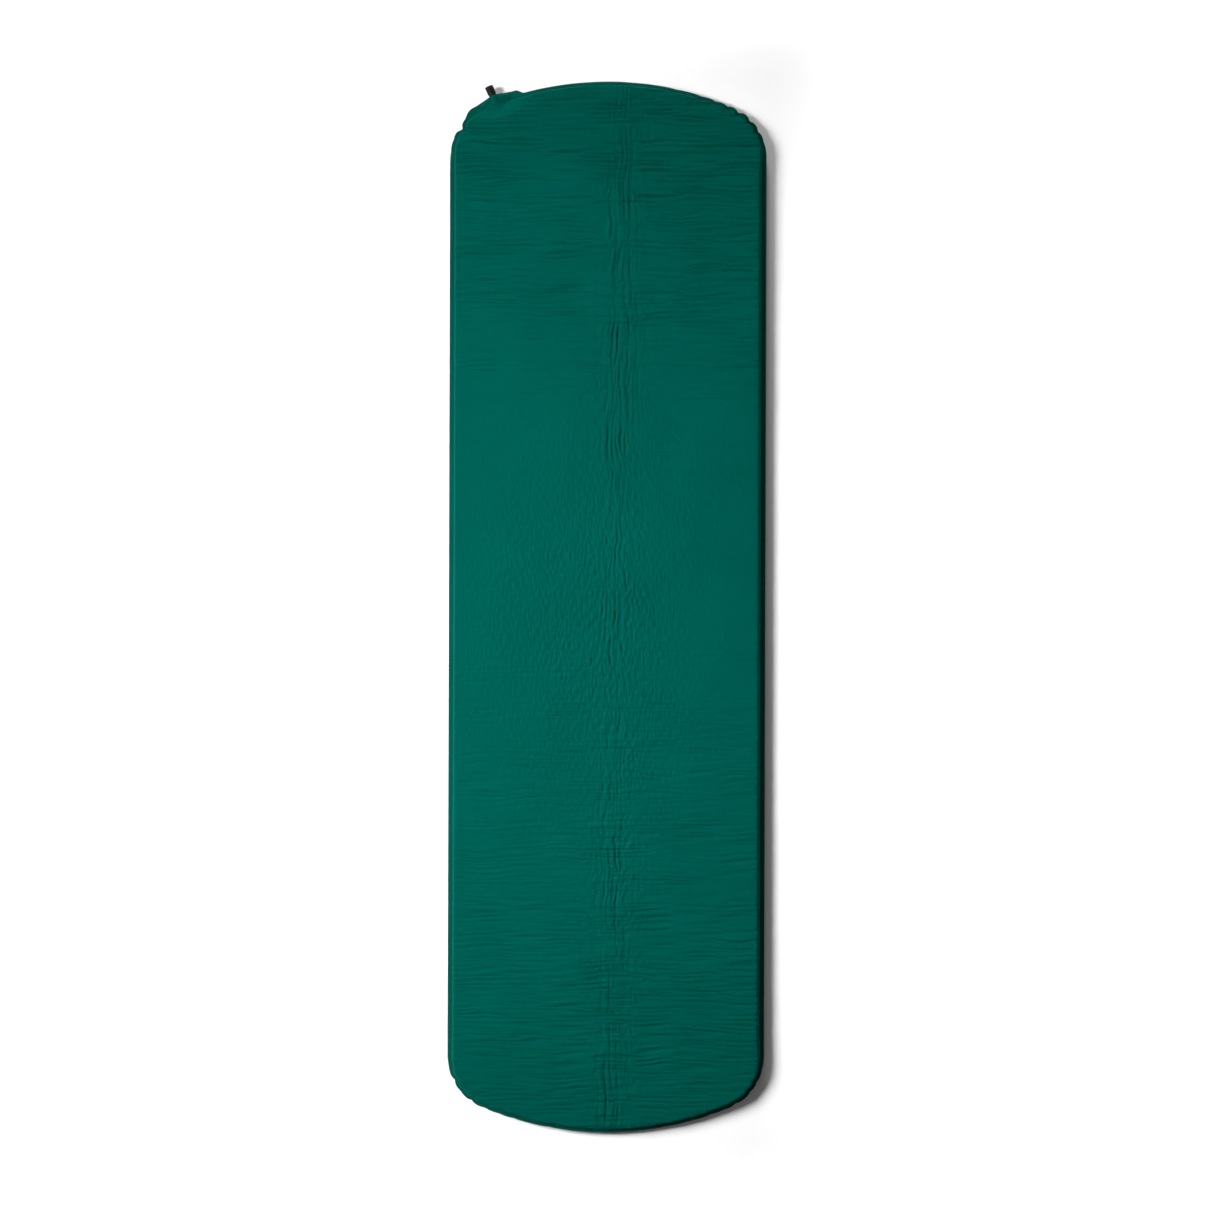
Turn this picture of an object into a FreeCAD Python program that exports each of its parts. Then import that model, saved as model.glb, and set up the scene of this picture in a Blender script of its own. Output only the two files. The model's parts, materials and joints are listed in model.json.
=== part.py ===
"""Self-inflating sleeping pad with a twist valve at one head-end corner.

The pad is two sheets of coated fabric welded together round their rims, with one slab of open-cell
foam bonded inside. The rim weld runs round the pad at half its thickness. The valve is welded
between the sheets: a soft base, a rigid stem with a central plug, and a knob that unscrews.

Frame, in millimetres: X across the pad, Y along it towards the head end, Z up. The origin is on the
floor under the middle of the pad. The pad's forms are drawn about the rim plane, and the valve's
pieces about the valve axis: their local Z runs along it, outwards, and is 0 at the fabric's edge.
"""

import FreeCAD, Part
import math
import os

import Sketcher
from FreeCAD import Placement, Rotation, Vector

# Each driving dimension: (alias, value in millimetres or degrees, what it is)
SIZES = [
    ("pad_length", 1830, "overall length over the rim weld"),
    ("pad_width", 550, "overall width over the rim weld"),
    ("pad_thickness", 38, "thickness when inflated"),
    ("end_radius", 560, "radius of the shallow arc across each end"),
    ("corner_radius", 95, "radius of the outline's four corners"),
    ("rim_width", 8, "width of the flat rim where the sheets are welded"),
    ("fabric", 0.5, "thickness of one coated sheet"),
    ("edge_round", 8, "rounding of the long edges above and below the upright sides"),
    ("valve_inset", 22, "distance of the valve along the end arc from the start of the corner"),
    ("valve_lean", 4.5, "how far the valve axis leans from square to the end arc"),
    ("valve_standoff", 11.5, "how far the fabric's edge at the valve stands out of the end arc"),
    ("tab_front", 84, "length of the tab's front, where the valve comes out"),
    ("tab_drop", 5, "how far the ends of that front lie behind its middle"),
    ("tab_flare", 30, "how much wider the tab is at its root, on each side"),
    ("tab_depth", 34, "how far the tab reaches back into the pad"),
    ("boat_half_width", 24, "half the width of the base's welded boat shape"),
    ("boat_wall", 2.4, "thickness of the boat shape over the stem at its middle"),
    ("boat_front", 6, "distance of the boat's front face behind the fabric's edge"),
    ("boat_length", 16, "length of the boat shape along the valve axis"),
    ("pocket_margin", 4, "room beside the boat in the relief cut in the foam"),
    ("pocket_depth", 38, "how far that relief reaches behind the fabric's edge"),
    ("sleeve_wall", 1.6, "wall of the base's inner sleeve round the stem"),
    ("sleeve_length", 6, "length of the base's inner sleeve"),
    ("collar_end", 2.5, "how far the base's collar stands out of the fabric"),
    ("stem_radius", 4.6, "outer radius of the stem"),
    ("stem_wall", 1.4, "wall of the stem round its air passage"),
    ("stem_tail", 1, "how far the stem reaches past the sleeve"),
    ("rib_height", 0.5, "height of the ribs that hold the stem in the base"),
    ("rib_length", 2, "length of each holding rib"),
    ("rib_pitch", 6, "distance between the holding ribs"),
    ("shoulder_step", 2, "how far the stem's shoulder stands out on the collar"),
    ("shoulder_length", 1, "length of the stem's shoulder"),
    ("lug_radius", 0.9, "radius of the stem's two round lugs"),
    ("lug_height", 1.1, "how far each lug stands out of the stem"),
    ("lug_inset", 2, "distance of the lugs from the stem's outer end"),
    ("hub_wall", 0.7, "wall of the spider's hub round the plug"),
    ("hub_length", 2.5, "length of the spider's hub and spokes"),
    ("spoke_width", 1.2, "width of each spoke"),
    ("shank_radius", 1, "radius of the plug's shank in the hub"),
    ("waist_gap", 0.8, "gap between the plug's waist and the mouth hole"),
    ("head_gap", 0.5, "gap between the plug's head and the mouth hole"),
    ("head_length", 0.7, "length of the plug's head"),
    ("plug_seal_section", 0.65, "section radius of the plug's seal"),
    ("knob_gap", 0.2, "gap between the closed knob and the shoulder"),
    ("knob_wall", 2.4, "wall of the knob outside its bore"),
    ("bore_gap", 0.3, "gap between the stem and the knob's bore"),
    ("end_wall", 2, "thickness of the knob's end wall"),
    ("end_room", 2.6, "room between the stem's end and that wall"),
    ("knob_round", 1.6, "rounding of the knob's outer edge"),
    ("mouth_radius", 3, "radius of the mouth hole in the knob's end"),
    ("knob_seal_section", 0.6, "section radius of the seal inside the knob"),
    ("knob_seal_inset", 1.4, "place of that seal from the knob's open end"),
    ("seal_gap", 0.05, "clearance round each seal"),
    ("seal_land", 0.4, "land between that seal's groove and the tracks"),
    ("track_lead", 6, "lead of the helical tracks that the lugs run in"),
    ("track_turn", 270, "turn of the knob from closed to open"),
    ("track_gap", 0.25, "clearance of a lug in its track"),
    ("track_over", 14, "how far each track runs on past the lug's travel, in degrees"),
    ("flute_count", 8, "number of grip flutes"),
    ("flute_width", 1.1, "width of a grip flute"),
    ("flute_depth", 0.4, "depth of a grip flute"),
    ("flute_inset", 2.2, "distance of the flutes from the knob's ends"),
    ("screen_thickness", 0.5, "thickness of the inlet screen"),
    ("screen_hole", 0.6, "radius of each hole in the inlet screen"),
    ("screen_rim", 0.7, "solid rim of the inlet screen"),
]

doc = FreeCAD.newDocument("sleeping_pad")
sheet = doc.addObject("Spreadsheet::Sheet", "Sizes")
for row, (alias, value, meaning) in enumerate(SIZES, start=1):
    sheet.set(f"A{row}", meaning)
    sheet.set(f"B{row}", str(value))
    sheet.setAlias(f"B{row}", alias)
doc.recompute()

# Expressions that several pieces share, in terms of the sheet's cells. Across the valve axis they
# are radii, and along it they are places, measured outwards from the fabric's edge.
RIM_HEIGHT = "Sizes.pad_thickness / 2"

STEM_BORE = "(Sizes.stem_radius - Sizes.stem_wall)"
BOAT_HALF_HEIGHT = "(Sizes.stem_radius + Sizes.boat_wall)"
SLEEVE_RADIUS = "(Sizes.stem_radius + Sizes.sleeve_wall)"
LUG_REACH = "(Sizes.stem_radius + Sizes.lug_height)"
HUB_RADIUS = "(Sizes.shank_radius + Sizes.hub_wall)"
KNOB_BORE = "(Sizes.stem_radius + Sizes.bore_gap)"
KNOB_RADIUS = f"({KNOB_BORE} + Sizes.knob_wall)"
PLUG_GROOVE = "(Sizes.mouth_radius - Sizes.seal_gap - 2 * Sizes.plug_seal_section)"
HALF_SEAL_GROOVE = "(Sizes.knob_seal_section + Sizes.seal_gap)"
HALF_TRACK = "(Sizes.lug_radius + Sizes.track_gap)"

BOAT_BACK = "(Sizes.boat_front + Sizes.boat_length)"
SLEEVE_BACK = f"({BOAT_BACK} + Sizes.sleeve_length)"
STEM_BACK = f"({SLEEVE_BACK} + Sizes.stem_tail)"
SHOULDER_END = "(Sizes.collar_end + Sizes.shoulder_length)"
KNOB_START = f"({SHOULDER_END} + Sizes.knob_gap)"
KNOB_SEAL_PLACE = f"({KNOB_START} + Sizes.knob_seal_inset)"
TRACK_RISE = "(Sizes.track_lead * Sizes.track_turn / 360)"
TRACK_SPARE = "(Sizes.track_lead * Sizes.track_over / 360)"
TRACK_START = f"({KNOB_SEAL_PLACE} + {HALF_SEAL_GROOVE} + Sizes.seal_land + {HALF_TRACK})"
LUG_PLACE = f"({TRACK_START} + {TRACK_SPARE} + {TRACK_RISE})"
STEM_END = f"({LUG_PLACE} + Sizes.lug_inset)"
HUB_START = f"({STEM_END} - Sizes.hub_length)"
END_WALL_START = f"({STEM_END} + Sizes.end_room)"
KNOB_END = f"({END_WALL_START} + Sizes.end_wall)"
PLUG_SEAL_PLACE = f"({END_WALL_START} + Sizes.end_wall / 2)"

# Where the valve sits: an angle on the head end's arc, from +Y towards -X, and the axis's direction
CORNER_START = (
    "asin((Sizes.pad_width / 2 - Sizes.corner_radius) / (Sizes.end_radius - Sizes.corner_radius))"
)
VALVE_PLACE = f"({CORNER_START} - Sizes.valve_inset / Sizes.end_radius * 180 deg / pi)"
VALVE_YAW = f"({VALVE_PLACE} + Sizes.valve_lean * 1 deg)"
VALVE_X = f"-(Sizes.end_radius * sin{VALVE_PLACE} + Sizes.valve_standoff * sin{VALVE_YAW})"
VALVE_Y = (
    "Sizes.pad_length / 2 - Sizes.end_radius"
    f" + Sizes.end_radius * cos{VALVE_PLACE} + Sizes.valve_standoff * cos{VALVE_YAW}"
)


def size(alias):
    """The number in the sheet's cell of that alias."""
    return float(getattr(sheet, alias))


def new_body(name):
    return doc.addObject("PartDesign::Body", name)


def plane_of(body, role):
    return next(f for f in body.Origin.OriginFeatures if f.Role == role)


def new_sketch(body, name, role="XY_Plane", at=None):
    """An empty sketch on one of the body's origin planes. at is an expression for how far it stands
    off that plane."""
    sketch = body.newObject("Sketcher::SketchObject", name)
    sketch.AttachmentSupport = [(plane_of(body, role), "")]
    sketch.MapMode = "FlatFace"
    if at:
        sketch.setExpression("AttachmentOffset.Base.z", at)
    return sketch


def dimension(sketch, name, expression, kind, *places):
    """Adds a dimension to the sketch and binds it to an expression."""
    value = places[-1]
    index = sketch.addConstraint(Sketcher.Constraint(kind, *places[:-1], value))
    sketch.renameConstraint(index, name)
    sketch.setExpression(f"Constraints.{name}", expression)


def circle(sketch, name, radius):
    """A circle whose centre lies on the sketch's origin."""
    index = sketch.addGeometry(Part.Circle(Vector(0, 0, 0), Vector(0, 0, 1), 1))
    sketch.addConstraint(Sketcher.Constraint("Coincident", index, 3, -1, 1))
    dimension(sketch, name, radius, "Radius", index, 1)


def polygon(sketch, name, points):
    """A closed polygon. Each point is a pair of expressions, its distances from the sketch's axes."""
    guess = [Vector(i * 1.0, (i * i) % 5 * 1.0, 0) for i in range(len(points))]
    lines = [
        sketch.addGeometry(Part.LineSegment(guess[i], guess[(i + 1) % len(points)]))
        for i in range(len(points))
    ]
    for i, line in enumerate(lines):
        after = lines[(i + 1) % len(lines)]
        sketch.addConstraint(Sketcher.Constraint("Coincident", line, 2, after, 1))
    for i, (across, along) in enumerate(points):
        where = (-1, 1, lines[i], 1)
        dimension(sketch, f"{name}_across_{i}", across, "DistanceX", *where, guess[i].x + 0.1)
        dimension(sketch, f"{name}_along_{i}", along, "DistanceY", *where, guess[i].y + 0.1)
    return lines


def rectangle(sketch, name, left, right, low, high):
    return polygon(sketch, name, [(left, low), (right, low), (right, high), (left, high)])


def extrude(body, sketch, name, length, cut=False, both_ways=False, reversed_way=False):
    """A Pad, or a Pocket if cut is set, of a sketch by a length that is an expression."""
    kind = "PartDesign::Pocket" if cut else "PartDesign::Pad"
    feature = body.newObject(kind, name)
    feature.Profile = sketch
    feature.setExpression("Length", length)
    feature.Midplane = both_ways
    feature.Reversed = reversed_way
    return feature


def revolve(body, sketch, name, cut=False):
    """A full turn of a sketch on the XZ plane about the body's Z axis."""
    feature = body.newObject("PartDesign::Groove" if cut else "PartDesign::Revolution", name)
    feature.Profile = sketch
    feature.ReferenceAxis = (sketch, ["V_Axis"])
    feature.Angle = 360
    return feature


def repeat_around(body, feature, name, count):
    """Repeats a feature evenly round the body's Z axis."""
    pattern = body.newObject("PartDesign::PolarPattern", name)
    pattern.Originals = [feature]
    pattern.Axis = (next(f for f in body.Origin.OriginFeatures if f.Role == "Z_Axis"), [""])
    pattern.Angle = 360
    pattern.setExpression("Occurrences", count)
    body.Tip = pattern
    return pattern


def outline(body, name, inset):
    """A sketch of the pad's outline, drawn in by inset: straight sides, round corners, arched ends.
    The first shape is worked out from the sheet, and the constraints then hold it."""
    sketch = new_sketch(body, name)
    half_width = size("pad_width") / 2
    end, corner = size("end_radius"), size("corner_radius")
    end_centre = size("pad_length") / 2 - end
    lean = math.asin((half_width - corner) / (end - corner))
    side = end_centre + (end - corner) * math.cos(lean)
    up = Vector(0, 0, 1)

    def arc(x, y, radius, first, last):
        round_form = Part.Circle(Vector(x, y, 0), up, radius)
        return sketch.addGeometry(Part.ArcOfCircle(round_form, first, last))

    right, quarter = half_width - corner, math.pi / 2
    loop = [
        sketch.addGeometry(Part.LineSegment(Vector(half_width, -side, 0), Vector(half_width, side, 0))),
        arc(right, side, corner, 0, quarter - lean),
        arc(0, end_centre, end, quarter - lean, quarter + lean),
        arc(-right, side, corner, quarter + lean, 2 * quarter),
        sketch.addGeometry(Part.LineSegment(Vector(-half_width, side, 0), Vector(-half_width, -side, 0))),
        arc(-right, -side, corner, 2 * quarter, 3 * quarter - lean),
        arc(0, -end_centre, end, 3 * quarter - lean, 3 * quarter + lean),
        arc(right, -side, corner, 3 * quarter + lean, 4 * quarter),
    ]
    for i, piece in enumerate(loop):
        sketch.addConstraint(Sketcher.Constraint("Tangent", piece, 2, loop[(i + 1) % len(loop)], 1))
    for line in (loop[0], loop[4]):
        sketch.addConstraint(Sketcher.Constraint("Vertical", line))
    for arched in (loop[2], loop[6]):
        sketch.addConstraint(Sketcher.Constraint("PointOnObject", arched, 3, -2))
    for number, piece in enumerate((loop[1], loop[3], loop[5], loop[7])):
        dimension(sketch, f"corner_{number}", f"Sizes.corner_radius - {inset}", "Radius", piece, corner)
    for number, piece in enumerate((loop[2], loop[6])):
        dimension(sketch, f"end_{number}", f"Sizes.end_radius - {inset}", "Radius", piece, end)
    reach = "Sizes.pad_length / 2 - Sizes.end_radius"
    dimension(sketch, "head_centre", reach, "DistanceY", -1, 1, loop[2], 3, end_centre)
    dimension(sketch, "foot_centre", reach, "DistanceY", loop[6], 3, -1, 1, end_centre)
    beside = f"Sizes.pad_width / 2 - {inset}"
    dimension(sketch, "right_side", beside, "DistanceX", -1, 1, loop[0], 1, half_width)
    dimension(sketch, "left_side", beside, "DistanceX", loop[4], 1, -1, 1, half_width)
    return sketch


def seat_on_valve_axis(body, height):
    """Puts a body drawn about its own Z axis on the valve axis, that far above the rim plane's zero."""
    body.setExpression(
        "Placement",
        f"create(<<placement>>; create(<<vector>>; {VALVE_X}; {VALVE_Y}; {height});"
        f" create(<<rotation>>; {VALVE_YAW} / 1 deg; 0; -90))",
    )


def boat_sketch(body, name, at, grown="0"):
    """A lens across the valve axis: two equal arcs, grown outwards by an expression. The lens's
    half width and half height fix the radius of the arcs, and growing keeps their centres."""
    sketch = new_sketch(body, name, at=at)
    half, high = size("boat_half_width"), size("stem_radius") + size("boat_wall")
    radius = (half * half + high * high) / (2 * high)
    drop = radius - high
    turn = math.acos(drop / radius)
    quarter = math.pi / 2
    arcs = []
    for sign in (1, -1):
        round_form = Part.Circle(Vector(0, -sign * drop, 0), Vector(0, 0, 1), radius)
        middle = sign * quarter
        arcs.append(sketch.addGeometry(Part.ArcOfCircle(round_form, middle - turn, middle + turn)))
    sketch.addConstraint(Sketcher.Constraint("Coincident", arcs[0], 2, arcs[1], 1))
    sketch.addConstraint(Sketcher.Constraint("Coincident", arcs[1], 2, arcs[0], 1))
    for arc in arcs:
        sketch.addConstraint(Sketcher.Constraint("PointOnObject", arc, 3, -2))
    arc_radius = f"(Sizes.boat_half_width ^ 2 + {BOAT_HALF_HEIGHT} ^ 2) / (2 * {BOAT_HALF_HEIGHT})"
    for number, (sign, arc) in enumerate(zip((1, -1), arcs)):
        dimension(sketch, f"round_{number}", f"{arc_radius} + {grown}", "Radius", arc, radius)
        ends = (arc, 3, -1, 1) if sign > 0 else (-1, 1, arc, 3)
        drop_text = f"{arc_radius} - {BOAT_HALF_HEIGHT}"
        dimension(sketch, f"drop_{number}", drop_text, "DistanceY", *ends, drop)
    return sketch


# ---- Forms that the fabric and the foam are cut from, drawn about the rim plane ----


def round_edges(body, pad, name, height, radius):
    """Rounds every edge of a pad that lies flat at that height."""
    doc.recompute()
    found = [
        f"Edge{i}"
        for i, edge in enumerate(pad.Shape.Edges, start=1)
        if abs(edge.BoundBox.ZMin - height) < 0.01 and abs(edge.BoundBox.ZMax - height) < 0.01
    ]
    fillet = body.newObject("PartDesign::Fillet", name)
    fillet.Base = (pad, found)
    fillet.setExpression("Radius", radius)
    doc.recompute()
    return fillet


def upper_form():
    """The outside of the pad above the rim plane, with the rim, the tab and the valve's hump."""
    body = new_body("upper_form")
    crown = extrude(body, outline(body, "crown_outline", "Sizes.rim_width"), "crown", RIM_HEIGHT)
    top = size("pad_thickness") / 2
    round_edges(body, crown, "crown_round", top, "Sizes.edge_round")
    extrude(body, outline(body, "rim_outline", "0"), "rim", "Sizes.fabric")

    hump = new_body("valve_hump_form")
    lens = boat_sketch(hump, "hump_lens", "-Sizes.tab_depth", "Sizes.fabric")
    extrude(hump, lens, "hump", "Sizes.tab_depth")
    tab = new_sketch(hump, "tab_outline", "XZ_Plane")
    front, nose = "Sizes.tab_front / 2", "Sizes.boat_half_width"
    root = f"({front} + Sizes.tab_flare)"
    corners = [
        (f"-{root}", "-Sizes.tab_depth"),
        (root, "-Sizes.tab_depth"),
        (front, "-Sizes.tab_drop"),
        (nose, "0"),
        (f"-{nose}", "0"),
        (f"-{front}", "-Sizes.tab_drop"),
    ]
    polygon(tab, "tab", corners)
    extrude(hump, tab, "tab", "2 * Sizes.fabric", both_ways=True)
    seat_on_valve_axis(hump, "0")

    above = doc.addObject("Part::Box", "above_rim")
    for side, alias in (("Length", "pad_width"), ("Width", "pad_length"), ("Height", "pad_thickness")):
        above.setExpression(side, f"Sizes.{alias} * 2")
    above.setExpression("Placement.Base.x", "-Sizes.pad_width")
    above.setExpression("Placement.Base.y", "-Sizes.pad_length")
    half_hump = doc.addObject("Part::Common", "upper_hump")
    half_hump.Base, half_hump.Tool = hump, above
    whole = doc.addObject("Part::Fuse", "upper_outside")
    whole.Base, whole.Tool = body, half_hump
    return whole


def cavity_form():
    """The inside of the welded sheets: the shape of the uncut foam slab."""
    body = new_body("cavity_form")
    inset = "(Sizes.rim_width + Sizes.fabric)"
    depth = "Sizes.pad_thickness - 2 * Sizes.fabric"
    slab = extrude(body, outline(body, "slab_outline", inset), "slab", depth, both_ways=True)
    half = size("pad_thickness") / 2 - size("fabric")
    rounding = "Sizes.edge_round - Sizes.fabric"
    top = round_edges(body, slab, "slab_top_round", half, rounding)
    round_edges(body, top, "slab_bottom_round", -half, rounding)
    return body


def tunnel_form():
    """The opening between the sheets that the valve's base fills."""
    body = new_body("tunnel_form")
    extrude(body, boat_sketch(body, "tunnel_lens", "-Sizes.tab_depth"), "tunnel", "Sizes.tab_depth + 1")
    seat_on_valve_axis(body, "0")
    return body


def pocket_form():
    """The relief in the foam's corner that leaves room behind the valve."""
    body = new_body("pocket_form")
    outer = new_sketch(body, "pocket_outline", at="-Sizes.pocket_depth")
    across = "(Sizes.boat_half_width + Sizes.pocket_margin)"
    rectangle(outer, "pocket", f"-{across}", across, "-Sizes.pad_thickness", "Sizes.pad_thickness")
    extrude(body, outer, "pocket", "Sizes.pocket_depth * 2")
    seat_on_valve_axis(body, "0")
    return body


def cut(name, base, tool):
    feature = doc.addObject("Part::Cut", name)
    feature.Base, feature.Tool = base, tool
    return feature


def pad_pieces():
    """The two fabric sheets and the foam between them, lifted so that the pad lies on the floor."""
    outside, cavity = upper_form(), cavity_form()
    below = doc.addObject("Part::Mirroring", "lower_outside")
    below.Source = outside
    below.Normal = Vector(0, 0, 1)
    inside = doc.addObject("Part::Fuse", "inside_form")
    inside.Base, inside.Tool = cavity, tunnel_form()
    pieces = [
        cut("top_fabric", outside, inside),
        cut("bottom_fabric", below, inside),
        cut("foam_core", cavity, pocket_form()),
    ]
    for piece in pieces:
        piece.setExpression("Placement.Base.z", RIM_HEIGHT)
    return pieces


# ---- The valve's pieces, drawn about their own Z axis ----


def ribs(body, name, cut_them):
    """The stem's two holding ribs, or the grooves that they press into."""
    sketch = new_sketch(body, name, "XZ_Plane")
    inner = "(Sizes.stem_radius - Sizes.stem_wall / 2)"
    outer = "(Sizes.stem_radius + Sizes.rib_height)"
    for number, sign in enumerate(("-", "+")):
        middle = f"-(Sizes.boat_front + Sizes.boat_length / 2) {sign} Sizes.rib_pitch / 2"
        low, high = f"{middle} - Sizes.rib_length / 2", f"{middle} + Sizes.rib_length / 2"
        rectangle(sketch, f"rib_{number}", inner, outer, low, high)
    return revolve(body, sketch, f"{name}_turned", cut=cut_them)


def valve_base():
    """Soft moulded base: a boat shape welded between the sheets, a collar and an inner sleeve."""
    body = new_body("valve_base")
    extrude(body, boat_sketch(body, "boat_lens", f"-{BOAT_BACK}"), "boat", "Sizes.boat_length")
    collar = new_sketch(body, "collar_circle", at="-Sizes.boat_front")
    circle(collar, "collar", BOAT_HALF_HEIGHT)
    extrude(body, collar, "collar", "Sizes.boat_front + Sizes.collar_end")
    sleeve = new_sketch(body, "sleeve_circle", at=f"-{SLEEVE_BACK}")
    circle(sleeve, "sleeve", SLEEVE_RADIUS)
    extrude(body, sleeve, "sleeve", "Sizes.sleeve_length")
    bore = new_sketch(body, "bore_outline", "XZ_Plane")
    rectangle(bore, "bore", "0", "Sizes.stem_radius", f"-{SLEEVE_BACK} - 1", "Sizes.collar_end + 1")
    revolve(body, bore, "bore", cut=True)
    ribs(body, "rib_grooves", True)
    seat_on_valve_axis(body, RIM_HEIGHT)
    return body


def valve_stem():
    """Rigid tube with a shoulder, holding ribs, two round lugs, and a spider that holds the plug."""
    body = new_body("valve_stem")
    barrel = new_sketch(body, "barrel_outline", "XZ_Plane")
    wide = "(Sizes.stem_radius + Sizes.shoulder_step)"
    corners = [
        ("0", f"-{STEM_BACK}"),
        ("Sizes.stem_radius", f"-{STEM_BACK}"),
        ("Sizes.stem_radius", "Sizes.collar_end"),
        (wide, "Sizes.collar_end"),
        (wide, SHOULDER_END),
        ("Sizes.stem_radius", SHOULDER_END),
        ("Sizes.stem_radius", STEM_END),
        ("0", STEM_END),
    ]
    polygon(barrel, "barrel", corners)
    revolve(body, barrel, "barrel")
    ribs(body, "holding_ribs", False)
    lug = new_sketch(body, "lug_circle", "YZ_Plane")
    index = lug.addGeometry(Part.Circle(Vector(0, 10, 0), Vector(0, 0, 1), 1))
    lug.addConstraint(Sketcher.Constraint("PointOnObject", index, 3, -2))
    dimension(lug, "lug_place", LUG_PLACE, "DistanceY", -1, 1, index, 3, 10)
    dimension(lug, "lug_size", "Sizes.lug_radius", "Radius", index, 1)
    extrude(body, lug, "lugs", f"{LUG_REACH} * 2", both_ways=True)
    passage = new_sketch(body, "passage_outline", "XZ_Plane")
    rectangle(passage, "passage", "0", STEM_BORE, f"-{STEM_BACK} - 1", f"{STEM_END} + 1")
    revolve(body, passage, "passage", cut=True)
    spoke = new_sketch(body, "spoke_outline", at=HUB_START)
    across = "Sizes.spoke_width / 2"
    rectangle(spoke, "spoke", "0", f"{STEM_BORE} + Sizes.stem_wall / 2", f"-{across}", across)
    spoke_pad = extrude(body, spoke, "spoke", "Sizes.hub_length")
    repeat_around(body, spoke_pad, "spokes", "3")
    hub = new_sketch(body, "hub_circle", at=HUB_START)
    circle(hub, "hub", HUB_RADIUS)
    extrude(body, hub, "hub", "Sizes.hub_length")
    eye = new_sketch(body, "eye_outline", "XZ_Plane")
    rectangle(eye, "eye", "0", "Sizes.shank_radius", f"{HUB_START} - 1", f"{STEM_END} + 1")
    body.Tip = revolve(body, eye, "eye", cut=True)
    seat_on_valve_axis(body, RIM_HEIGHT)
    return body


def valve_plug():
    """Plug pressed into the spider. Its head and seal close the knob's mouth hole."""
    body = new_body("valve_plug")
    sketch = new_sketch(body, "plug_outline", "XZ_Plane")
    half_groove = "(Sizes.plug_seal_section + Sizes.seal_gap)"
    low, high = f"{PLUG_SEAL_PLACE} - {half_groove}", f"{PLUG_SEAL_PLACE} + {half_groove}"
    waist, head = "(Sizes.mouth_radius - Sizes.waist_gap)", "(Sizes.mouth_radius - Sizes.head_gap)"
    corners = [
        ("0", HUB_START),
        ("Sizes.shank_radius", HUB_START),
        ("Sizes.shank_radius", STEM_END),
        (waist, STEM_END),
        (waist, low),
        (PLUG_GROOVE, low),
        (PLUG_GROOVE, high),
        (head, high),
        (head, f"{high} + Sizes.head_length / 2"),
        (PLUG_GROOVE, f"{high} + Sizes.head_length"),
        ("0", f"{high} + Sizes.head_length"),
    ]
    polygon(sketch, "plug", corners)
    revolve(body, sketch, "plug")
    seat_on_valve_axis(body, RIM_HEIGHT)
    return body


def seal_ring(name, ring_radius, section, place):
    """A round-section seal across the valve axis."""
    body = new_body(name)
    sketch = new_sketch(body, f"{name}_section", "XZ_Plane")
    index = sketch.addGeometry(Part.Circle(Vector(4, 10, 0), Vector(0, 0, 1), 0.5))
    dimension(sketch, "ring", ring_radius, "DistanceX", -1, 1, index, 3, 4)
    dimension(sketch, "place", place, "DistanceY", -1, 1, index, 3, 10)
    dimension(sketch, "section", section, "Radius", index, 0.5)
    revolve(body, sketch, f"{name}_ring")
    seat_on_valve_axis(body, RIM_HEIGHT)
    return body


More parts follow.
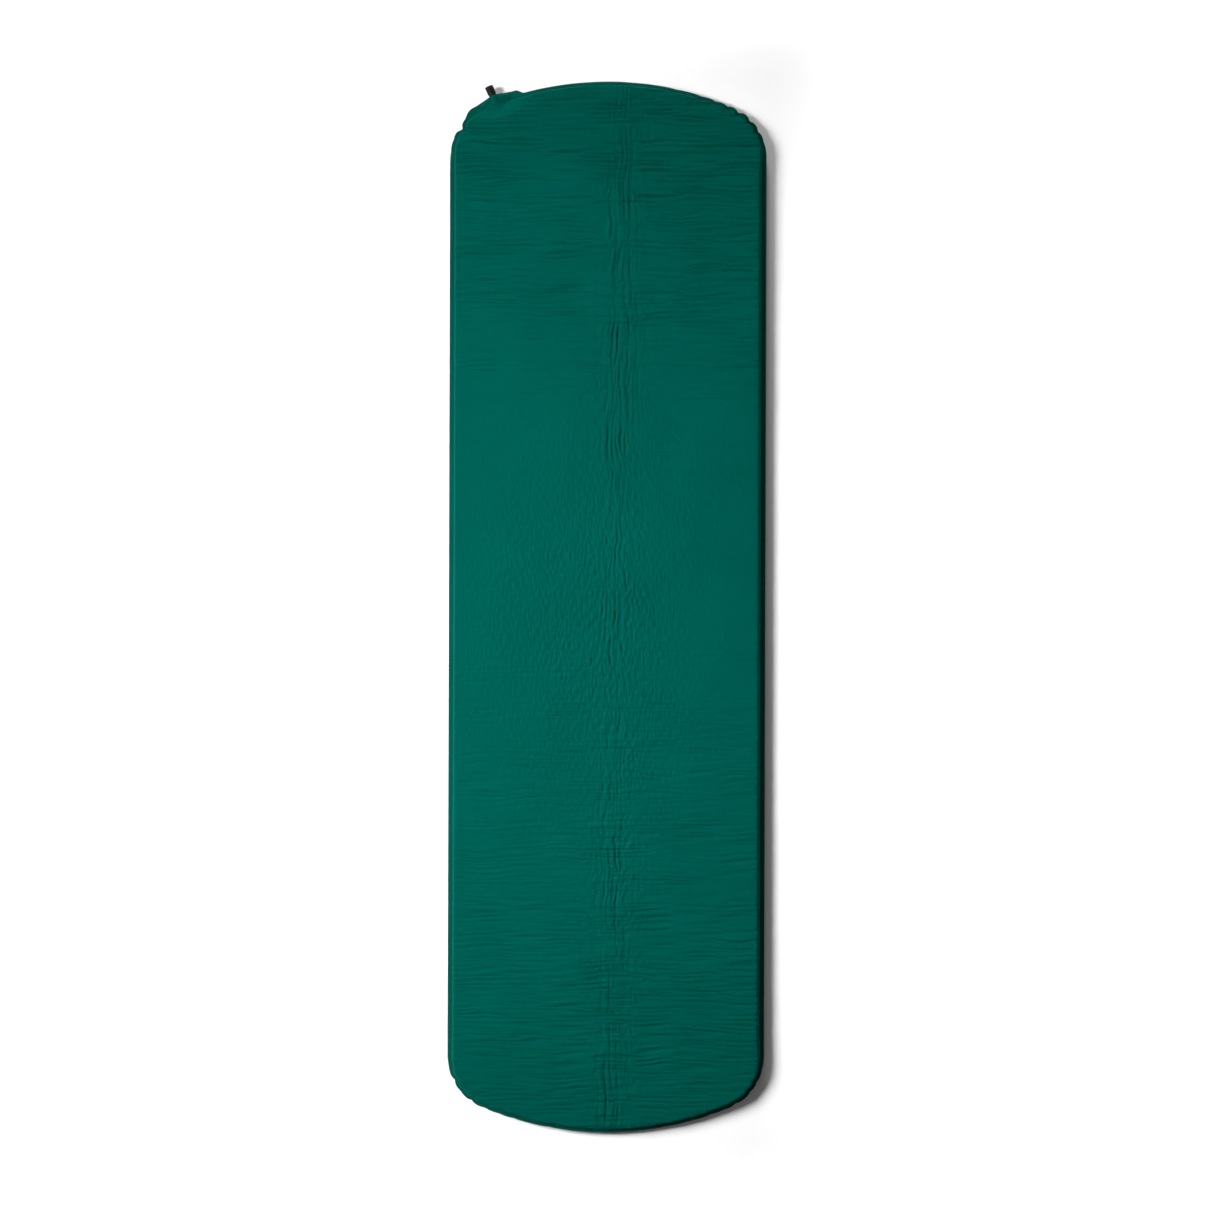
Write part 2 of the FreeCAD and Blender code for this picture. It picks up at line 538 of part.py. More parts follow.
def valve_knob():
    """Knob with a mouth hole, a seal groove, two helical tracks for the lugs, and grip flutes."""
    body = new_body("valve_knob")
    sketch = new_sketch(body, "knob_outline", "XZ_Plane")
    rectangle(sketch, "knob", "0", KNOB_RADIUS, KNOB_START, KNOB_END)
    turned = revolve(body, sketch, "knob_blank")
    doc.recompute()
    end = turned.Shape.BoundBox.ZMax
    round_edges(body, turned, "knob_round", end, "Sizes.knob_round")

    # A flute is a V groove, and its sketch reaches as far outside the knob as it cuts into it
    flute = new_sketch(body, "flute_outline", at=f"{KNOB_START} + Sizes.flute_inset")
    flute.setExpression("AttachmentOffset.Rotation.Angle", "180 deg / Sizes.flute_count")
    outside = f"{KNOB_RADIUS} + Sizes.flute_depth"
    corners = [
        (f"{KNOB_RADIUS} - Sizes.flute_depth", "0"),
        (outside, "Sizes.flute_width"),
        (outside, "-Sizes.flute_width"),
    ]
    polygon(flute, "flute", corners)
    length = f"{KNOB_END} - {KNOB_START} - 2 * Sizes.flute_inset"
    groove = extrude(body, flute, "flute", length, cut=True, reversed_way=True)
    repeat_around(body, groove, "flutes", "Sizes.flute_count")

    bore = new_sketch(body, "knob_bore_outline", "XZ_Plane")
    seal_reach = "Sizes.stem_radius + 2 * Sizes.knob_seal_section + 2 * Sizes.seal_gap"
    low, high = f"{KNOB_SEAL_PLACE} - {HALF_SEAL_GROOVE}", f"{KNOB_SEAL_PLACE} + {HALF_SEAL_GROOVE}"
    corners = [
        ("0", f"{KNOB_START} - 1"),
        (KNOB_BORE, f"{KNOB_START} - 1"),
        (KNOB_BORE, low),
        (seal_reach, low),
        (seal_reach, high),
        (KNOB_BORE, high),
        (KNOB_BORE, END_WALL_START),
        ("Sizes.mouth_radius", END_WALL_START),
        ("Sizes.mouth_radius", f"{KNOB_END} + 1"),
        ("0", f"{KNOB_END} + 1"),
    ]
    polygon(bore, "bore", corners)
    revolve(body, bore, "knob_bore", cut=True)

    # Seen from the knob, each lug runs down its track and backwards round the axis as the knob opens
    track = new_sketch(body, "track_section", "XZ_Plane")
    track.AttachmentOffset = Placement(Vector(0, 0, 0), Rotation(Vector(0, 1, 0), -180))
    track.setExpression("AttachmentOffset.Rotation.Angle", "-(Sizes.track_turn + Sizes.track_over)")
    inner, outer = "Sizes.stem_radius", f"{LUG_REACH} + Sizes.track_gap"
    low, high = f"{TRACK_START} - {HALF_TRACK}", f"{TRACK_START} + {HALF_TRACK}"
    rectangle(track, "track", inner, outer, low, high)
    helix = body.newObject("PartDesign::SubtractiveHelix", "track")
    helix.Profile = track
    helix.ReferenceAxis = (track, ["V_Axis"])
    helix.Mode = "pitch-height-angle"
    helix.setExpression("Pitch", "Sizes.track_lead")
    helix.setExpression("Height", f"{TRACK_RISE} + 2 * {TRACK_SPARE}")
    repeat_around(body, helix, "tracks", "2")
    seat_on_valve_axis(body, RIM_HEIGHT)
    return body


def inlet_screen():
    """Perforated disc in the stem's inner end that keeps crumbs of foam out of the passage."""
    body = new_body("inlet_screen")
    disc = new_sketch(body, "disc_circle", at=f"-{STEM_BACK}")
    circle(disc, "disc", STEM_BORE)
    extrude(body, disc, "disc", "Sizes.screen_thickness")
    middle = new_sketch(body, "middle_hole", at=f"-{STEM_BACK}")
    circle(middle, "middle", "Sizes.screen_hole")
    extrude(body, middle, "middle_cut", "Sizes.screen_thickness", cut=True, reversed_way=True)
    hole = new_sketch(body, "ring_hole", at=f"-{STEM_BACK}")
    index = hole.addGeometry(Part.Circle(Vector(1.5, 0, 0), Vector(0, 0, 1), 0.5))
    hole.addConstraint(Sketcher.Constraint("PointOnObject", index, 3, -1))
    ring = f"{STEM_BORE} - Sizes.screen_rim - Sizes.screen_hole"
    dimension(hole, "ring", ring, "DistanceX", -1, 1, index, 3, 1.5)
    dimension(hole, "hole", "Sizes.screen_hole", "Radius", index, 0.5)
    ring_cut = extrude(body, hole, "ring_cut", "Sizes.screen_thickness", cut=True, reversed_way=True)
    repeat_around(body, ring_cut, "ring_cuts", "6")
    seat_on_valve_axis(body, RIM_HEIGHT)
    return body


def main():
    plug_ring = f"{PLUG_GROOVE} + Sizes.plug_seal_section"
    knob_ring = "Sizes.stem_radius + Sizes.knob_seal_section + Sizes.seal_gap"
    pieces = pad_pieces()
    pieces += [valve_base(), valve_stem(), inlet_screen(), valve_plug(), valve_knob()]
    pieces.append(seal_ring("plug_seal", plug_ring, "Sizes.plug_seal_section", PLUG_SEAL_PLACE))
    pieces.append(seal_ring("knob_seal", knob_ring, "Sizes.knob_seal_section", KNOB_SEAL_PLACE))
    doc.recompute()

    bad = [f.Label for f in doc.Objects if {"Invalid", "Error"} & set(f.State)]
    if bad:
        raise RuntimeError(f"these failed to recompute: {bad}")
    for piece in pieces:
        if piece.Shape.isNull() or not piece.Shape.isValid() or not piece.Shape.Solids:
            raise RuntimeError(f"{piece.Label} has no valid solid")
    os.makedirs("parts", exist_ok=True)
    for piece in pieces:
        piece.Shape.exportStep(f"parts/{piece.Label}.step")
        box = piece.Shape.BoundBox
        print(
            f"{piece.Label}: {len(piece.Shape.Solids)} solid, {piece.Shape.Volume:.1f} mm3,"
            f" {box.XLength:.1f} x {box.YLength:.1f} x {box.ZLength:.1f} mm"
        )


main()
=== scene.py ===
"""Self-inflating sleeping pad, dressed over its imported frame: two wrinkled sheets of coated cloth,
a foam slab, and a black twist valve. Metres, +Z up, +Y towards the head end with the valve."""

import json
import math

import bpy
import numpy as np
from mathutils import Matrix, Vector, geometry


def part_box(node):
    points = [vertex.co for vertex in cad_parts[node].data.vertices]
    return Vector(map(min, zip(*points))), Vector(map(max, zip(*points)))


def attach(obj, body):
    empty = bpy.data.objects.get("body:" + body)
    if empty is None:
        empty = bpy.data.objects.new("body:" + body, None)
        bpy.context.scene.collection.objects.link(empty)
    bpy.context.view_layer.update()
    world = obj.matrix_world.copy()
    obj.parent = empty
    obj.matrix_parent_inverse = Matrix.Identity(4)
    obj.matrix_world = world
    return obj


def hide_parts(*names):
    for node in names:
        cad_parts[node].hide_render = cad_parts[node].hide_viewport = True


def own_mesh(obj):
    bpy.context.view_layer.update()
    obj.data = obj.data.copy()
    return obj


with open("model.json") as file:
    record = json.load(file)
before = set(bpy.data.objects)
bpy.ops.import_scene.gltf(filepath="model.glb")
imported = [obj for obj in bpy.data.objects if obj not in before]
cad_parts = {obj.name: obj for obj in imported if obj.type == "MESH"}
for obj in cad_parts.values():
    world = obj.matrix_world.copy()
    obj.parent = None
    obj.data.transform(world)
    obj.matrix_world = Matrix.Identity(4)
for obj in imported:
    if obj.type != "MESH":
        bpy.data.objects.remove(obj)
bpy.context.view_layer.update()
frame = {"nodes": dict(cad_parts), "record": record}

MM = 0.001

# ---- Sizes, from the frame where it gives them ----

LOW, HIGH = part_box("top_fabric")
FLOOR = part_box("bottom_fabric")[0].z
RIM = LOW.z  # height of the weld between the sheets
TOP = HIGH.z
HALF_WIDTH, HALF_LENGTH = HIGH.x, HIGH.y

END_RADIUS = 560 * MM
CORNER_RADIUS = 95 * MM
CLOTH = 0.5 * MM
RIM_WIDTH, RIM_AT_ENDS = 8 * MM, 6.5 * MM
SHOULDER_LEFT, SHOULDER_RIGHT, SHOULDER_ENDS = 3 * MM, 6 * MM, 4.5 * MM
FACE_INSET = 21 * MM  # the flat face starts this far inside the outline

JOINTS = {joint["name"]: joint for joint in frame["record"]["behaviour"]["joints"]}
VALVE_AT = np.array(JOINTS["knob_twist"]["pos_m"][:2])  # on the valve axis, at the fabric's edge
VALVE_OUT = np.array(JOINTS["knob_twist"]["axis"][:2])  # along the valve axis, outwards
VALVE_ACROSS = np.array([VALVE_OUT[1], -VALVE_OUT[0]])

# ---- The outline: straight sides, round corners, arched ends ----

LEAN = math.asin((HALF_WIDTH - CORNER_RADIUS) / (END_RADIUS - CORNER_RADIUS))
SIDE_END = HALF_LENGTH - END_RADIUS + (END_RADIUS - CORNER_RADIUS) * math.cos(LEAN)
CORNER_LENGTH = CORNER_RADIUS * (math.pi / 2 - LEAN)
END_LENGTH = END_RADIUS * LEAN  # from a corner to the middle of the end
QUARTER = SIDE_END + CORNER_LENGTH + END_LENGTH


def quarter_outline(run):
    """Points and outward normals on the quarter of the outline at +X and +Y, for distances run from
    the middle of the side."""
    corner = np.clip((run - SIDE_END) / CORNER_RADIUS, 0, math.pi / 2 - LEAN)
    arched = np.clip((run - SIDE_END - CORNER_LENGTH) / END_RADIUS, 0, LEAN)
    turn = corner + arched
    normal = np.column_stack([np.cos(turn), np.sin(turn)])
    side = np.column_stack([np.full(len(run), HALF_WIDTH), np.minimum(run, SIDE_END)])
    round_corner = np.array([HALF_WIDTH - CORNER_RADIUS, SIDE_END]) + CORNER_RADIUS * normal
    arch = np.array([0, HALF_LENGTH - END_RADIUS]) + END_RADIUS * normal
    point = np.where((run > SIDE_END)[:, None], round_corner, side)
    point = np.where((run > SIDE_END + CORNER_LENGTH)[:, None], arch, point)
    return point, normal


def outline(step):
    """The whole outline anticlockwise from the middle of the right side: points, outward normals,
    and for each point its corner's signs and its distance past the start of that corner's arc."""
    count = int(QUARTER / step)
    run = (np.arange(count) + 0.5) * QUARTER / count
    point, normal = quarter_outline(run)
    points, normals, signs, past = [], [], [], []
    for sx, sy in ((1, 1), (-1, 1), (-1, -1), (1, -1)):
        order = slice(None) if sx * sy > 0 else slice(None, None, -1)
        sign = np.array([sx, sy])
        points.append((point * sign)[order])
        normals.append((normal * sign)[order])
        signs.append(np.tile(sign, (count, 1)))
        past.append((run - SIDE_END)[order])
    return [np.concatenate(parts) for parts in (points, normals, signs, past)]


# ---- Smooth random fields ----


def smooth(x):
    x = np.clip(x, 0, 1)
    return x * x * (3 - 2 * x)


def fade(x, start, end):
    """0 at start, 1 at end, smooth between."""
    return smooth((x - start) / (end - start))


def bell(x, middle, width):
    return np.exp(-(((x - middle) / width) ** 2))


def noise(x, y, wide, tall, seed):
    """Gradient noise, about -1 to 1, with features about wide by tall."""
    rng = np.random.default_rng(seed)
    angle = rng.uniform(0, 2 * math.pi, (256, 256))
    slope_x, slope_y = np.cos(angle), np.sin(angle)
    u, v = x / wide + 64.37, y / tall + 128.71
    left, low = np.floor(u).astype(int), np.floor(v).astype(int)
    fu, fv = u - left, v - low
    total = 0
    for i in (0, 1):
        for j in (0, 1):
            place = (left + i) % 256, (low + j) % 256
            weight = (smooth(fu) if i else 1 - smooth(fu)) * (smooth(fv) if j else 1 - smooth(fv))
            total = total + weight * (slope_x[place] * (fu - i) + slope_y[place] * (fv - j))
    return total * 1.5


def crease(values):
    """Ridges along the lines where a noise field is zero."""
    return np.clip(1 - np.abs(values) * 2.2, 0, 1) ** 2


# ---- The cloth's relief ----

# The pad has been folded in half lengthways, and the fold's line drifts across it
FOLD_AT_FOOT, FOLD_AT_HEAD = 2 * MM, 20 * MM
RELIEF_MOST = 2.4 * MM  # no crease rises or sinks further than this


def relief(x, y):
    """Height of the creases in the cloth on the pad's flat face."""
    along = (y / HALF_LENGTH + 1) / 2  # 0 at the foot, 1 at the head
    foot, head = fade(-y, -0.05, 0.45), fade(y, 0.25, 0.60)
    fold = FOLD_AT_FOOT + (FOLD_AT_HEAD - FOLD_AT_FOOT) * along + 3 * MM * noise(0 * x, y, 1, 0.16, 1)
    off = x - fold

    # Long creases that run with the fold, split and join again
    bend = 7 * MM * noise(x, y, 0.045, 0.085, 2) + 2.5 * MM * noise(x, y, 0.02, 0.03, 3)
    long_lines = noise(off + bend, y, 0.0032, 0.10, 4) + 0.6 * noise(off + bend, y, 0.0026, 0.06, 15)
    core = bell(off, 0.002, 0.018) + 0.45 * bell(off, 0.008, 0.045)
    core *= 0.85 + 0.3 * noise(x, y, 0.05, 0.09, 5)
    ends = 1 + 0.7 * fade(-y, 0.30, 0.60) + 1.4 * fade(y, 0.10, 0.35)
    total = 1.5 * MM * core * ends * (long_lines + 0.5 * crease(long_lines))

    # Short upright creases, as on leather, most of them in the middle of the pad's length
    short = noise(x + 0.3 * bend, y, 0.0029, 0.013, 6)
    middle = 0.5 * bell(y, 0.0, 0.34) * (bell(x, -0.06, 0.12) + 0.5 * bell(x, 0.1, 0.08))
    total += MM * (0.4 + 2.0 * middle + 0.7 * bell(off, 0.01, 0.05)) * short

    # Fine wrinkles across the pad, in groups
    drift = 5 * MM * noise(x, y, 0.11, 0.05, 7) + 1.8 * MM * noise(x, y, 0.05, 0.02, 8)
    across = noise(x, y + drift, 0.075, 0.0029, 9)
    groups = 0.3 + 0.7 * fade(noise(x, y, 0.30, 0.035, 10), -0.45, 0.45)
    strength = 0.45 + 1.8 * foot + 1.8 * fade(-y, 0.45, 0.65) + 3.2 * head
    strength *= 1 + 0.3 * fade(x, -0.05, 0.1) + 0.7 * foot * bell(off, 0, 0.07)
    total += MM * strength * groups * (across + 0.3 * crease(across))

    # A cross-hatch where both kinds meet, beside the fold
    hatch = noise(x + 0.5 * bend, y, 0.0030, 0.022, 11)
    near = bell(off, 0.015, 0.055) * (0.25 + 0.55 * foot + 0.2 * head)
    total += 0.9 * MM * near * hatch

    # Creases that leave the fold at a slant towards the foot
    slant = 0.86 * off - 0.5 * y
    run = 0.5 * off + 0.86 * y
    oblique = noise(slant + 0.5 * bend, run, 0.0038, 0.055, 12)
    total += 1.1 * MM * oblique * bell(off, 0.026, 0.022) * bell(y, -0.40, 0.17)

    # Slack places, and the foam's grain under the cloth
    total += 0.6 * MM * noise(x, y, 0.10, 0.13, 13) + 0.10 * MM * noise(x, y, 0.011, 0.013, 14)
    return RELIEF_MOST * np.tanh(total / RELIEF_MOST)


# ---- The rim ----

# Where the rim is gathered: corner signs, distance past the start of the corner, depth, half width
GATHERS = [
    (1, 1, 28, 1.0, 6),
    (1, 1, 49, 3.8, 4.4),
    (1, 1, 73, 4.8, 4.4),
    (1, 1, 98, 6.0, 4.6),
    (1, 1, 121, 3.2, 5),
    (1, 1, 143, 2.2, 5),
    (1, 1, 170, 1.5, 6),
    (1, 1, 214, 1.0, 8),
    (-1, 1, 54, 8.4, 5.5),
    (-1, 1, 31, 1.2, 6),
    (-1, 1, 8, 1.0, 10),
    (-1, -1, 14, 0.9, 8),
    (-1, -1, 44, 3.6, 5),
    (-1, -1, 66, 1.2, 6),
    (-1, -1, 91, 3.0, 5),
    (-1, -1, 118, 1.8, 6),
    (-1, -1, 146, 1.2, 6),
    (-1, -1, 171, 1.6, 7),
    (-1, -1, 236, 1.2, 8),
    (1, -1, 20, 0.9, 8),
    (1, -1, 46, 1.8, 6),
    (1, -1, 66, 2.2, 5),
    (1, -1, 100, 2.6, 6),
    (1, -1, 124, 1.2, 6),
    (1, -1, 146, 1.6, 7),
    (1, -1, 190, 0.9, 8),
    (1, -1, 232, 0.8, 9),
]

GATHERS_REACH = 26 * MM  # a gather fades out over this distance inwards


def gathered(signs, past):
    """How deep the rim is drawn in by its gathers, in metres, at each point of the outline."""
    total = np.zeros(len(past))
    for sx, sy, place, depth, width in GATHERS:
        here = (signs[:, 0] == sx) & (signs[:, 1] == sy)
        off = np.abs(past - place * MM) / (width * MM)
        total += np.where(here, depth * MM * np.exp(-(off**1.25)), 0)
    return total


# The tab that the valve sits in, along the edge (u) and outwards (w) from the valve's place
TAB_LEFT, TAB_RIGHT = -43 * MM, 42 * MM
TAB_LEFT_DROP, TAB_RIGHT_DROP = 5 * MM, 8 * MM  # how far its front falls back to those ends
TAB_BEHIND = 60 * MM  # no tab further in than this
# The cloth's hump over the valve's base
HUMP_HALF_WIDTH, HUMP_HEIGHT = 27 * MM, 11.5 * MM
HUMP_ROOT = 42 * MM  # it starts this far inside the edge
COLLAR_HALF_WIDTH = 10.5 * MM  # its half width where it closes round the valve's collar
LOWER_HUMP = 8.2 * MM  # the most that the lower sheet stands below the rim plane there
# The thinner part of the pad round it
DIP_HALF_WIDTH, DIP_LENGTH = 56 * MM, 48 * MM
BASE_HALF_WIDTH, BASE_HALF_HEIGHT = 25 * MM, 7.9 * MM  # the valve's base, with the cloth's clearance
FOLD_HEIGHT, PINCH_DEPTH = 3.4 * MM, 5 * MM


def valve_place(xy):
    """Places along and across the valve's edge: u to the right of the valve, w outwards."""
    off = xy - VALVE_AT
    return off @ VALVE_ACROSS, off @ VALVE_OUT


def tab_reach(point, normal):
    """How far the tab's front stands out of the outline, along the outline's normal."""
    u, w = valve_place(point)
    slope_u, slope_w = normal @ VALVE_ACROSS, normal @ VALVE_OUT
    best = np.zeros(len(point))
    for _ in range(3):  # the front's height depends on where along it the normal comes out
        at = u + best * slope_u
        left = -TAB_LEFT_DROP * smooth(at / TAB_LEFT)
        right = -TAB_RIGHT_DROP * smooth(at / TAB_RIGHT)
        front = np.where(at < 0, left, right)
        best = np.clip((front - w) / np.maximum(slope_w, 0.3), 0, None)
    left_end = fade(at, TAB_LEFT - 24 * MM, TAB_LEFT + 2 * MM)
    right_end = fade(-at, -TAB_RIGHT - 11 * MM, -TAB_RIGHT + 3 * MM)
    return best * (left_end * right_end) * (w > -TAB_BEHIND)


def base_rise(u, w):
    """Half thickness of the valve's base, with the cloth's clearance over it."""
    arch = np.clip(1 - (u / BASE_HALF_WIDTH) ** 2, 0, 1)
    return BASE_HALF_HEIGHT * arch * fade(w, -27 * MM, -21 * MM)


def valve_folds(u, w):
    """Folds that run out from the foot of the valve, and the deep pinch on its right."""
    turn, far = np.arctan2(-w, -u), np.hypot(u, w)
    near = fade(far, 6 * MM, 13 * MM) * fade(-far, -50 * MM, -24 * MM)
    rays = noise(turn, far, 0.30, 0.05, 30) + 0.5 * crease(noise(turn, far, 0.42, 0.05, 31))
    left = 0.35 + 0.65 * fade(-u, -4 * MM, 6 * MM)
    along, aside = 0.42 * u - 0.91 * w, 0.91 * u + 0.42 * w
    pinch = bell(aside, 0.5 * MM, 2.4 * MM)
    pinch = pinch * fade(along, 7 * MM, 11 * MM) * fade(-along, -30 * MM, -14 * MM)
    return FOLD_HEIGHT * near * left * rays - PINCH_DEPTH * pinch


def hump(xy):
    """Height of the cloth above the rim plane where it goes over the valve's base."""
    u, w = valve_place(xy)
    spread = fade(-w, -1 * MM, 9 * MM)  # it closes round the collar at the edge
    half = COLLAR_HALF_WIDTH + (HUMP_HALF_WIDTH - COLLAR_HALF_WIDTH) * spread
    across = np.clip(np.abs(u) / half, 0, 1)
    round_top = np.sqrt(np.clip(1 - (across * 1.15) ** 2, 0, 1))
    lens = (1 - across**2) * spread + round_top * (1 - spread)
    return HUMP_HEIGHT * lens * fade(w, -HUMP_ROOT, -HUMP_ROOT + 14 * MM) * (w < 6 * MM)


def dip(xy):
    """The share of the pad's thickness left where the pad thins out towards the valve."""
    u, w = valve_place(xy)
    near = fade(-np.abs(u), -DIP_HALF_WIDTH, -0.45 * DIP_HALF_WIDTH) * (w > -DIP_LENGTH)
    return 1 - near * (1 - fade(-w, 0, DIP_LENGTH))


def over_valve(xy, z, most):
    """Heights from the rim plane, with the pad thinned out, the hump, its folds and the pinch."""
    u, w = valve_place(xy)
    top = np.minimum(hump(xy), most)
    dipped = CLOTH + (z - CLOTH) * dip(xy)
    high = np.maximum(dipped, CLOTH + top)
    high = high + valve_folds(u, w) * np.clip((high - CLOTH) / (4 * MM), 0, 1)
    return np.maximum(high, CLOTH + np.minimum(base_rise(u, w), most) * (top > 0))


# ---- The sheets ----

FLANGE_RINGS, WALL_RINGS = 8, 12


def ring_faces(rings, count):
    """Four-sided faces between rings of count points each."""
    faces = []
    for i in range(rings - 1):
        for j in range(count):
            after = (j + 1) % count
            row, above = i * count, (i + 1) * count
            faces.append((row + j, row + after, above + after, above + j))
    return faces


class Sheet:
    """A welded sheet's mesh: rings that follow the outline over the rim and the rounded side, and a
    triangulated face inside them. Heights are above the rim plane, and the lower sheet is turned over."""

    def __init__(self, ring_step, face_step, rise, seed):
        self.rise = rise  # height of the face above the rim plane
        self.face_step = face_step
        self.seed = seed
        self.point, self.normal, signs, past = outline(ring_step)
        self.gather = gathered(signs, past)
        self.reach = tab_reach(self.point, self.normal)
        ring = 2 * math.pi * np.arange(len(self.point)) / len(self.point)
        self.round_x, self.round_y = np.cos(ring) * 0.7, np.sin(ring) * 0.7
        self.curved = fade(past, -0.05, 0.03)  # 1 round the corners and ends
        side = np.where(self.point[:, 0] < 0, SHOULDER_LEFT, SHOULDER_RIGHT)
        self.shoulder = side + (SHOULDER_ENDS - side) * self.curved
        self.flange = RIM_WIDTH + (RIM_AT_ENDS - RIM_WIDTH) * self.curved

    def along(self, length, seed):
        """Noise along the outline that joins up with itself."""
        return noise(self.round_x, self.round_y, length, length, self.seed + seed)

    def ring(self, inset):
        """The outline drawn in by inset, with the gathers fading out further in."""
        pull = self.gather * (1 - fade(inset + 0 * self.gather, 0, GATHERS_REACH))
        return self.point - self.normal * (inset + pull)[:, None]

    def rings(self, overlap):
        """Yields each ring's points, height above the rim plane and wave, edge first."""
        count = len(self.point)
        wave = (0.5 + 1.6 * self.curved) * MM * self.along(0.035, 1)
        wave += 0.35 * MM * self.along(0.011, 2)
        edge = self.ring(0) + self.normal * (self.reach + overlap)[:, None]
        inner = self.ring(self.flange)
        for share in np.linspace(0, 1, FLANGE_RINGS):
            bead = CLOTH * (1 + 0.6 * bell(share, 0.35, 0.08))
            yield edge + (inner - edge) * share, np.full(count, bead), wave * (1 - share)
        wall = self.rise - CLOTH
        pucker = (0.2 + 0.9 * self.curved) * MM * self.along(0.010, 3) + 0.4 * self.gather
        for turn in np.linspace(0, math.pi / 2, WALL_RINGS + 1)[1:]:
            height = math.sin(turn)
            bulge = 0.8 * MM * math.sin(math.pi * height) - pucker * math.sin(math.pi * height**0.7)
            sag = -0.5 * pucker * fade(height, 0.6, 1.0)
            xy = self.ring(self.flange + self.shoulder * (1 - math.cos(turn)))
            xy = xy + self.normal * np.reshape(bulge, (-1, 1))
            yield xy, CLOTH + wall * height + sag, np.zeros(count)
        crest = self.flange + self.shoulder
        for share in (0.2, 0.45, 0.7, 1.0):
            sag = -0.5 * pucker * (1 - share)
            yield self.ring(crest + (FACE_INSET - crest) * share), self.rise + sag, np.zeros(count)

    def build(self, name, overlap, height_of, material):
        rows = list(self.rings(overlap))
        count = len(self.point)
        xy = np.concatenate([row[0] for row in rows])
        z = np.concatenate([row[1] for row in rows])
        wave = np.concatenate([row[2] for row in rows])
        faces = ring_faces(len(rows), count)
        start = (len(rows) - 1) * count
        inner = xy[start:]
        grid = self.grid(FACE_INSET + 0.7 * self.face_step)
        flat = [Vector(place) for place in np.vstack([inner, grid]).tolist()]
        filled = geometry.delaunay_2d_cdt(flat, [], [list(range(count))], 1, 1e-7)
        if len(filled[0]) != count + len(grid):
            raise RuntimeError(f"{name}: the face's points were merged")
        faces += [tuple(start + v for v in face) for face in filled[2]]
        xy = np.vstack([xy, grid])
        z = np.concatenate([z, np.full(len(grid), self.rise)])
        wave = np.concatenate([wave, np.zeros(len(grid))])
        points = np.column_stack([xy, height_of(xy, z, wave)])
        return new_piece(name, points, faces, material)

    def grid(self, inset):
        """Staggered points inside the outline drawn in by inset."""
        step = self.face_step
        rows = np.arange(-HALF_LENGTH, HALF_LENGTH, step * math.sqrt(3) / 2)
        columns = np.arange(-HALF_WIDTH, HALF_WIDTH, step)
        x, y = np.meshgrid(columns, rows)
        x = x + np.where(np.arange(len(rows)) % 2, step / 2, 0)[:, None]
        x, y = x.ravel(), y.ravel()
        ax, ay = np.abs(x), np.abs(y)
        in_arch = np.hypot(ax, ay - (HALF_LENGTH - END_RADIUS)) < END_RADIUS - inset
        in_sides = ax < HALF_WIDTH - inset
        cx, cy = ax - (HALF_WIDTH - CORNER_RADIUS), ay - SIDE_END
        in_corner = np.hypot(cx, cy) < CORNER_RADIUS - inset
        beyond = (cy > 0) & (np.arctan2(cy, cx) < math.pi / 2 - LEAN)
        keep = np.where(beyond, in_corner, in_arch & in_sides)
        return np.column_stack([x, y])[keep]


def new_piece(name, points, faces, material):
    mesh = bpy.data.meshes.new(name)
    mesh.from_pydata(points.tolist(), [], faces)
    mesh.update()
    piece = bpy.data.objects.new(name, mesh)
    bpy.context.scene.collection.objects.link(piece)
    mesh.materials.append(material)
    mesh.polygons.foreach_set("use_smooth", [True] * len(mesh.polygons))
    return piece


def flip_faces(piece):
    piece.data.flip_normals()
    return piece


# ---- Materials ----


